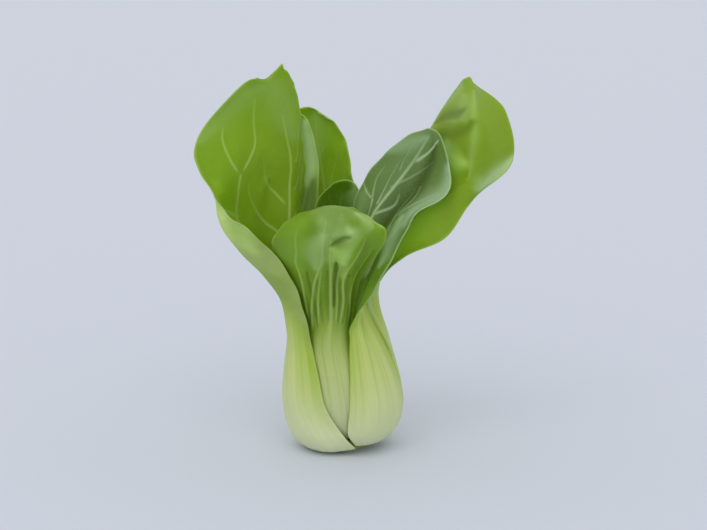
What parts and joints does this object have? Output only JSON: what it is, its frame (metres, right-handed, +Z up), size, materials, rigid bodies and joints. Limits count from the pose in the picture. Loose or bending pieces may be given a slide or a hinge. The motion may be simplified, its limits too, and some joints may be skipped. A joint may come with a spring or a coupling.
{
  "type": "bok choy",
  "caption": "Head of green-stemmed bok choy standing on its cut base: pale crescent petioles wrap a bulb and spread into waved green blades.",
  "frame": {"origin": "centre of the flat cut under the stem", "axes": "+Z up along the head, from the cut stem to the leaf tips; -Y is the side that the picture shows, +X is its right"},
  "size_m": [0.1612, 0.0923, 0.198],
  "materials": {
    "stem": "cut stem, pale and fibrous, slightly dry",
    "leaf_left_outer": "yellow-green blade with pale veins, pale green petiole, waxy satin",
    "leaf_right_front": "bluish green blade with white veins, pale green petiole, waxy satin",
    "leaf_right_back": "bright green blade, pale green petiole, waxy satin",
    "leaf_front_centre": "light green outer face with raised long veins, waxy satin",
    "leaf_back_left": "bluish green blade with pale veins, waxy satin",
    "leaf_back": "deep green blade with pale veins, waxy satin",
    "leaf_centre": "dark green young blade, waxy satin",
    "leaf_heart": "small young leaf, light green, waxy satin"
  },
  "bodies": {
    "root": {"stem_base": "stem", "leaf_left_outer": "leaf_left_outer", "leaf_right_front": "leaf_right_front", "leaf_right_back": "leaf_right_back", "leaf_front_centre": "leaf_front_centre", "leaf_back_left": "leaf_back_left", "leaf_back": "leaf_back", "leaf_centre": "leaf_centre", "leaf_heart_left": "leaf_heart", "leaf_heart_right": "leaf_heart"}
  },
  "joints": []
}
